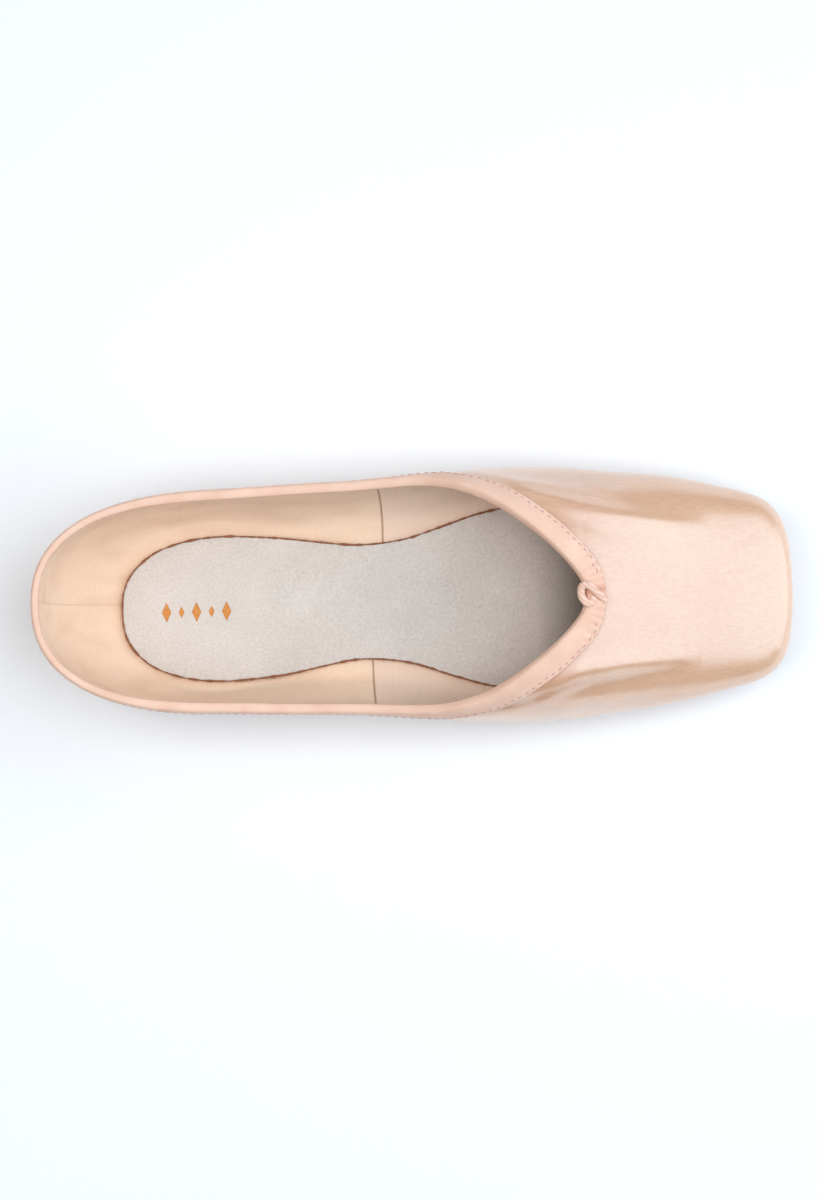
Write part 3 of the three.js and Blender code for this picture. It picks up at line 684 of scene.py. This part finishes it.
# Soft creases in the satin beside the binding, heel to toe in plan. A negative depth is a ridge.
creases = [
    {"along": [(6, 38.6), (14, 37.4), (23, 35)], "depth": 0.7, "width": 1.5},
    {"along": [(17, 37.8), (32, 33.5), (42, 32), (56, 30.5)], "depth": -0.4, "width": 1.3},
    {"along": [(22, 35.4), (36, 32.2), (52, 29.8)], "depth": 0.25, "width": 1.2},
    {"along": [(26, 38.4), (44, 36.2), (66, 34.8)], "depth": 0.3, "width": 2.2},
    {"along": [(24, 33), (34, 30.4), (44.5, 27.6), (57, 23.6), (76, 20), (92, 18)],
     "depth": -0.8, "width": 3.4},
    {"along": [(49, 22), (57, 20), (66, 15)], "depth": 0.08, "width": 2.4},
    {"along": [(3, -38.4), (14, -37.2), (24, -36.4), (36, -35.4)], "depth": 0.6, "width": 1.5},
    {"along": [(12, -38), (26, -37.6), (42, -33.6), (50, -30)], "depth": -0.35, "width": 1.3},
    {"along": [(24, -36.4), (40, -32.4), (49, -30), (62, -28.4), (84, -26)],
     "depth": 0.5, "width": 2.2},
    {"along": [(34, -35), (46, -30.6), (56, -29.4)], "depth": -0.3, "width": 1.1},
    {"along": [(40, -34.6), (54, -31.6), (72, -29.6)], "depth": 0.4, "width": 2.0},
    {"along": [(26, -33.4), (37, -29.8), (48, -26.4), (62, -23.6), (88, -21.6)],
     "depth": -0.7, "width": 3.2},
]
creasing = {
    "above": 18,
    "scale": 1.5,
    "endSoftness": 0.6,
    "beyondEnds": 6,
    "shade": 0.5,
    "shadeWidth": 0.7,  # of a crease's width
    "heldTo": 0.3,  # from the tape, which holds the satin down beside it
    "freeFrom": 4.5,
}


def undersideAt(x):
    return shoe["underside"] + shoe["toeSpring"] * ease(shoe["springFrom"], shoe["springFull"], x)


def pleatAt(place, fan, towardToe):
    ahead = (place.x - fan["centre"]) * (1 if towardToe else -1)
    angle = math.degrees(math.atan2(place.y, ahead))
    if abs(angle) > fan["reach"]:
        return 0.0, 0.0
    fade = 1 - ease(fan["fadeFrom"], fan["fadeTo"], place.z - undersideAt(place.x))
    fade *= 1 - ease(pleatShape["sideFade"] * fan["reach"], fan["reach"], abs(angle))
    if fade <= 0:
        return 0.0, 0.0
    reach = math.hypot(ahead, place.y)
    turn = angle / fan["pitch"] + fan["wander"] * noise.noise(Vector((angle * 0.05, reach * 0.02, 3)))
    share = turn - math.floor(turn)
    top = pleatShape["rise"]
    rise = share / top if share < top else (1 - share) / (1 - top)
    rise = rise * rise * (3 - 2 * rise)
    return fan["depth"] * fade * (rise - pleatShape["level"]), pleatShape["shade"] * fade * (1 - rise) ** 3


def creaseAt(place):
    here = Vector((place.x, place.y))
    total, shade = 0.0, 0.0
    for crease in creases:
        points = [Vector(point) for point in crease["along"]]
        beyond = creasing["beyondEnds"]
        if not points[0].x - beyond < here.x < points[-1].x + beyond:
            continue
        reach = sum((b - a).length for a, b in zip(points, points[1:]))
        run, nearest, share = 0.0, math.inf, 0.0
        for start, end in zip(points, points[1:]):
            along = end - start
            part = min(1.0, max(0.0, (here - start).dot(along) / along.length_squared))
            away = (here - start - along * part).length
            if away < nearest:
                nearest, share = away, (run + part * along.length) / reach
            run += along.length
        strength = crease["depth"] * math.sin(math.pi * share) ** creasing["endSoftness"]
        total -= creasing["scale"] * strength * bell(nearest, crease["width"])
        inner = creasing["shadeWidth"] * crease["width"]
        shade += creasing["shade"] * max(0.0, strength) * bell(nearest, inner)
    if total > 0:
        total *= ease(creasing["heldTo"], creasing["freeFrom"], collar.find(place)[2])
    return total, shade


def upperRelief(place, normal):
    if not facesOut(place, normal):
        wrinkle = cloth["wrinkle"] * wander(place, cloth["wrinkleGrain"], 9)
        # the wrinkles' troughs get painted shade
        return cloth["sag"] * wander(place, cloth["sagGrain"]) + wrinkle, max(0.0, -wrinkle)
    toeLift, toeShade = pleatAt(place, pleats, True)
    heelLift, heelShade = pleatAt(place, heelGathers, False)
    creaseLift, creaseShade = creaseAt(place) if place.z > creasing["above"] else (0.0, 0.0)
    lift = toeLift + heelLift + creaseLift
    lift += cloth["wave"] * wander(place, cloth["waveGrain"])
    bend = abs(place.x - vamp["bendAt"])  # the slope of the instep turns to that of the box here
    rounding = vamp["bend"] * (math.hypot(bend, vamp["round"]) - bend)
    lift -= rounding * ease(vamp["above"], vamp["allAbove"], place.z)
    return lift, toeShade + heelShade + creaseShade


def isPleated(place, normal):
    return (
        place.x > pleatedPart["from"]
        and place.z < pleatedPart["below"]
        and normal.z < pleatedPart["steepest"]
        and facesOut(place, normal)
        and math.hypot(place.x - pleats["centre"], place.y) > pleatedPart["beyond"]
    )


def makeUpper():
    piece = copyNode("upper", "satinUpper")
    refine(piece, 2)
    slimHeel(piece, stitchedSide)
    subdivideFaces(piece, isPleated)
    drawRelief(piece, upperRelief)
    piece.data.materials.append(satinCloth)
    piece.data.materials.append(liningCloth)
    for face in piece.data.polygons:
        face.material_index = 0 if facesOut(face.center / mm, face.normal) else 1
    finishPiece(piece, "satin", "upper")
    print("upper:", len(piece.data.polygons), "faces")


makeUpper()

# The row of stitches that holds the binding
stitch = {
    "pitch": 2.5,
    "jitter": 0.12,
    "length": 1.4,
    "width": 0.3,
    "height": 0.24,
    "inset": 2.0,  # from the tape's stitched side
    "lift": 0.05,
}


def makeStitches():
    skin = surfaceOf(collarBinding)
    random.seed(11)
    bpy.ops.object.select_all(action="DESELECT")
    bpy.ops.mesh.primitive_uv_sphere_add(segments=8, ring_count=6, radius=0.5 * mm)
    model = bpy.context.active_object
    model.data.materials.append(threadCotton)
    size = Matrix.Diagonal((stitch["length"], stitch["width"], stitch["height"], 1))
    copies = []
    travelled, nextAt = 0.0, 0.0
    for i, place in enumerate(stitchedSide):
        after = stitchedSide[(i + 1) % len(stitchedSide)]
        travelled += (after - place).length
        if travelled < nextAt:
            continue
        nextAt = travelled + stitch["pitch"] + random.uniform(-1, 1) * stitch["jitter"]
        along = (after - place).normalized()
        normal = skin.find_nearest(place * mm)[1]
        inward = along.cross(normal).normalized()
        tries = [place + side * stitch["inset"] * inward for side in (1, -1)]
        seat = min(tries, key=lambda t: skin.find_nearest((t + 2 * (t - place)) * mm)[3])
        spot, normal, _, _ = skin.find_nearest(seat * mm)
        along = (along - normal * along.dot(normal)).normalized()
        turned = Matrix((along, normal.cross(along), normal)).transposed().to_4x4()
        copy = model.copy()
        copy.data = model.data.copy()
        copy.data.transform(Matrix.Translation(spot + stitch["lift"] * mm * normal) @ turned @ size)
        bpy.context.scene.collection.objects.link(copy)
        copies.append(copy)
    bpy.data.objects.remove(model)
    count = len(copies)
    finishPiece(joinPieces(copies, "bindingStitches"), "drawstring")
    print("stitches:", count)


makeStitches()

# The insole, and its raw brown rim, frayed and of uneven width
insole = {"wave": 0.15, "waveGrain": (0.04, 0.05, 0), "topFrom": 0.5, "suedeFrom": 0.8}
rim = {
    "width": 0.6,
    "uneven": 0.45,
    "coarse": 0.45,
    "fine": 1.3,
    "spacing": 0.5,
    "lift": 0.2,
    "topFrom": 0.4,
}


def makeInsole():
    piece = copyNode("insole", "suedeInsole")
    refine(piece, 3)
    drawRelief(piece, lambda place, normal: (
        insole["wave"] * wander(place, insole["waveGrain"], 2) if normal.z > insole["topFrom"] else 0.0, 0.0
    ))
    piece.data.materials.append(suedeLeather)
    piece.data.materials.append(cutEdge)
    for face in piece.data.polygons:
        face.material_index = 0 if face.normal.z > insole["suedeFrom"] else 1
    finishPiece(piece, "insole", "insole")
    return piece


def findRim(mesh):  # the longest chain of edges between the suede and the cut edge
    meetings = {}
    for face in mesh.polygons:
        for key in face.edge_keys:
            meetings.setdefault(key, []).append(face.material_index)
    links = {}
    for (a, b), kinds in meetings.items():
        if sorted(kinds) == [0, 1] and mesh.vertices[a].normal.z > rim["topFrom"]:
            links.setdefault(a, []).append(b)
            links.setdefault(b, []).append(a)
    loop = []
    left = set(links)
    while left:
        here = left.pop()
        chain = [here]
        while True:
            onward = [i for i in links[here] if i in left]
            if not onward:
                break
            here = onward[0]
            left.discard(here)
            chain.append(here)
        loop = max(loop, chain, key=len)
    return [mesh.vertices[i].co / mm for i in loop]


def makeRim():
    places = findRim(suedeInsole.data)
    path, travelled = [places[0]], 0.0
    for before, place in zip(places, places[1:]):
        travelled += (place - before).length
        if travelled >= rim["spacing"]:
            path.append(place)
            travelled = 0.0
    curve = bpy.data.curves.new("insoleRim", "CURVE")
    curve.dimensions = "3D"
    curve.bevel_depth = 0.5 * rim["width"] * mm
    curve.bevel_resolution = 1
    curve.resolution_u = 1
    line = curve.splines.new("POLY")
    line.points.add(len(path) - 1)
    line.use_cyclic_u = True
    for point, place in zip(line.points, path):
        point.co = (*(place * mm + Vector((0, 0, rim["lift"] * mm))), 1)
        coarse, fine = noise.noise(place * rim["coarse"]), noise.noise(place * rim["fine"])
        point.radius = 1 + rim["uneven"] * 2 * coarse + rim["uneven"] * fine
    row = bpy.data.objects.new("insoleRim", curve)
    bpy.context.scene.collection.objects.link(row)
    selectOnly(row)
    bpy.ops.object.convert(target="MESH")
    row = bpy.context.active_object
    row.data.materials.clear()
    row.data.materials.append(cutEdge)
    finishPiece(row, "insole")
    print("insole's rim:", len(path), "points of", len(places))


def makeOutsole():
    piece = copyNode("outsole", "leatherOutsole")
    refine(piece, 3)
    piece.data.materials.append(tanLeather)
    finishPiece(piece, "outsole", "outsole")


# The cord swells where it isn't pulled, and the knot lies pressed on the slope of the tape
knot = {
    "swell": 0.28,
    "press": 0.75,
    "bottom": 50.7,  # of the knot in the CAD
    "seat": 50.4,
    "slope": 0.22,
    "slopeFrom": 50,
}


def makeKnot():
    piece = copyNode("drawstring_knot", "drawstringKnot")
    refine(piece, 2)
    drawRelief(piece, lambda place, normal: (knot["swell"], 0.0))
    for point in piece.data.vertices:
        place = point.co / mm
        fall = knot["slope"] * max(0.0, place.x - knot["slopeFrom"])
        point.co.z = (knot["seat"] + knot["press"] * (place.z - knot["bottom"]) - fall) * mm
    piece.data.materials.append(cordCotton)
    finishPiece(piece, "drawstring", "drawstring_knot")


suedeInsole = makeInsole()
makeRim()
makeOutsole()
makeKnot()
print("insole, outsole and knot made")

# A plain row of lozenges in gold foil, on the insole's heel
foil = {
    "middle": (-72.5, -2.6),
    "count": 5,
    "pitch": 4.9,
    "width": 3.1,
    "height": 6.6,
    "small": 0.6,  # every second lozenge, as a share of the others
    "thickness": 0.12,
    "roundedEdge": 0.03,
    "lift": 0.02,
}


def makeFoilRow():
    skin = surfaceOf(suedeInsole)
    lozenges = []
    for i in range(foil["count"]):
        x = foil["middle"][0] + (i - (foil["count"] - 1) / 2) * foil["pitch"]
        above = Vector((x, foil["middle"][1], 40)) * mm
        spot = skin.ray_cast(above, Vector((0, 0, -1)))[0]
        bpy.ops.object.select_all(action="DESELECT")
        bpy.ops.mesh.primitive_cylinder_add(vertices=4, radius=0.5 * mm, depth=foil["thickness"] * mm)
        lozenge = bpy.context.active_object
        lozenge.data.materials.append(goldFoil)
        bpy.ops.object.mode_set(mode="EDIT")
        bpy.ops.mesh.select_all(action="SELECT")
        bpy.ops.mesh.bevel(offset=foil["roundedEdge"] * mm, segments=2, affect="EDGES")
        bpy.ops.object.mode_set(mode="OBJECT")
        share = 1 if i % 2 == 0 else foil["small"]
        size = Matrix.Diagonal((foil["width"] * share, foil["height"] * share, 1, 1))
        lozenge.data.transform(Matrix.Translation(spot + Vector((0, 0, foil["lift"] * mm))) @ size)
        lozenges.append(lozenge)
    row = joinPieces(lozenges, "foilLozenges")
    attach(row, "root")


makeFoilRow()
print("foil row made")

# Floor, light and camera. The camera's sizes are in mm, the lights' in metres.
studio = {
    "cameraHeight": 700,
    "aimHeight": 25,
    "aimAt": (-2.95, -1.4),
    "tilt": 26,  # how far the camera stands to the shoe's right
    "roll": 1.6,  # degrees
    "focalLength": 63.8,
    "sensorWidth": 36,
    "nearest": 0.01,
    "farthest": 20,
    "floorSize": 6,
    "floor": "#fcfdfe",
    "sky": "#e6eefa",
    "skyStrength": 0.12,
}
lights = [
    {"name": "overhead", "at": (-0.08, 0.0, 0.95), "aim": (0, 0, 0.02), "size": (0.6, 1.1),
     "power": 4.8, "colour": "#ffffff"},
    {"name": "heelSide", "at": (-0.45, 0.0, 0.8), "aim": (0.04, 0, 0.01), "size": (0.7, 0.35),
     "power": 1.5, "colour": "#ffffff"},
    {"name": "toeSide", "at": (0.85, 0.0, 0.95), "aim": (0.08, 0, 0.04), "size": (2.2, 1.2),
     "power": 14.8, "colour": "#e0f1ff"},
    {"name": "toeFront", "at": (1.2, 0.0, 0.3), "aim": (0.1, 0, 0.03), "size": (1.2, 0.4),
     "power": 2.9, "colour": "#eef6ff"},
    {"name": "leftFill", "at": (0.1, 1.2, 0.5), "aim": (0.0, 0, 0.04), "size": (1.2, 0.5),
     "power": 0.8, "colour": "#ffffff"},
]


def makeFloor():
    bpy.ops.object.select_all(action="DESELECT")
    bpy.ops.mesh.primitive_plane_add(size=studio["floorSize"])
    floor = bpy.context.active_object
    floor.name = "floor"
    paint = startMaterial("paintedFloor", {
        "Base Color": linear(studio["floor"]), "Roughness": 0.7, "Specular IOR Level": 0.2,
    })[0]
    floor.data.materials.append(paint)


def makeLights():
    for entry in lights:
        data = bpy.data.lights.new(entry["name"], "AREA")
        data.shape = "RECTANGLE"
        data.size, data.size_y = entry["size"]
        data.energy = entry["power"]
        data.color = linear(entry["colour"])[:3]
        lamp = bpy.data.objects.new(entry["name"], data)
        lamp.location = entry["at"]
        away = Vector(entry["at"]) - Vector(entry["aim"])
        lamp.rotation_euler = away.to_track_quat("Z", "Y").to_euler()
        bpy.context.scene.collection.objects.link(lamp)
    world = bpy.data.worlds.new("studioWorld")
    world.use_nodes = True
    background = world.node_tree.nodes["Background"]
    background.inputs["Color"].default_value = linear(studio["sky"])
    background.inputs["Strength"].default_value = studio["skyStrength"]
    bpy.context.scene.world = world
    bpy.context.scene.view_settings.view_transform = "Standard"  # the paper's white stays white


def makeCamera():
    lens = bpy.data.cameras.new("camera")
    lens.sensor_width = studio["sensorWidth"]
    lens.lens = studio["focalLength"]
    lens.clip_start, lens.clip_end = studio["nearest"], studio["farthest"]
    camera = bpy.data.objects.new("camera", lens)
    bpy.context.scene.collection.objects.link(camera)
    x, y = studio["aimAt"]
    aim = Vector((x, y, studio["aimHeight"])) * mm
    seat = Vector((x, y - studio["tilt"], studio["cameraHeight"])) * mm
    back = (seat - aim).normalized()
    roll = math.radians(studio["roll"])
    up = Vector((math.sin(roll), math.cos(roll), 0))
    right = up.cross(back).normalized()
    up = back.cross(right)
    camera.matrix_world = Matrix.Translation(seat) @ Matrix((right, up, back)).transposed().to_4x4()
    bpy.context.scene.camera = camera


makeFloor()
makeLights()
makeCamera()
bpy.context.view_layer.update()
print("studio made")
